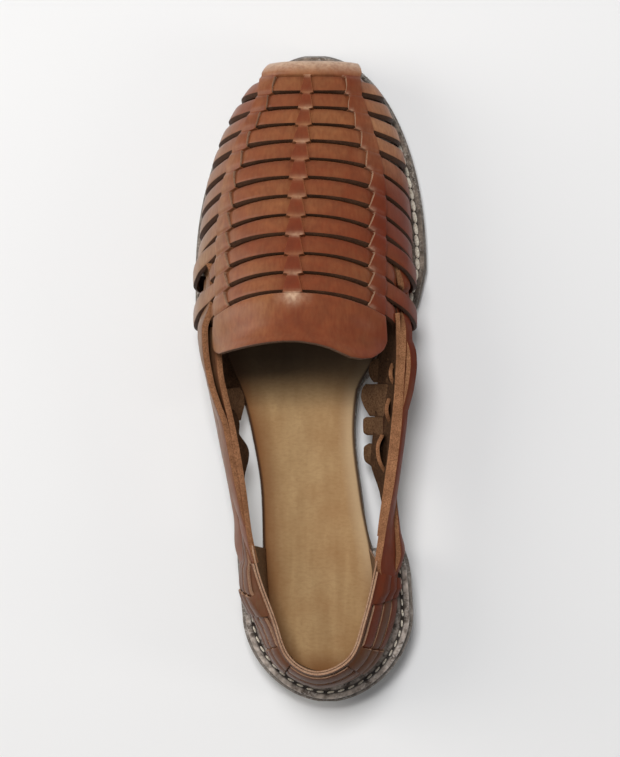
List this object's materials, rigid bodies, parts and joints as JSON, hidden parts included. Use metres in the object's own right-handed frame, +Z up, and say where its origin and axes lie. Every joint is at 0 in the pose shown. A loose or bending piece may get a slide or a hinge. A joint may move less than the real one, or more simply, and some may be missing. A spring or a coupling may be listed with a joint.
{
  "type": "woven leather loafer",
  "caption": "Left slip-on loafer with a woven strip vamp, open waist with side straps, woven heel counter, welted sole and low heel.",
  "frame": {"origin": "on the ground, under the middle of the shoe's box", "axes": "+X to the medial side, +Y to the toe, +Z up"},
  "size_m": [0.1082, 0.3002, 0.0811],
  "materials": {
    "woven_leather": "polished calf, cognac to red-brown",
    "sock_leather": "smooth vegetable-tanned tan leather, burnished at the edges",
    "welt_leather": "dark grey-brown, worn pale in speckles",
    "sole_rubber": "matt dark brown"
  },
  "bodies": {
    "root": {"outsole": "sole_rubber", "heel": "sole_rubber", "welt_forefoot": "welt_leather", "welt_heel": "welt_leather", "insole": "sock_leather", "upper": "woven_leather"}
  },
  "joints": []
}
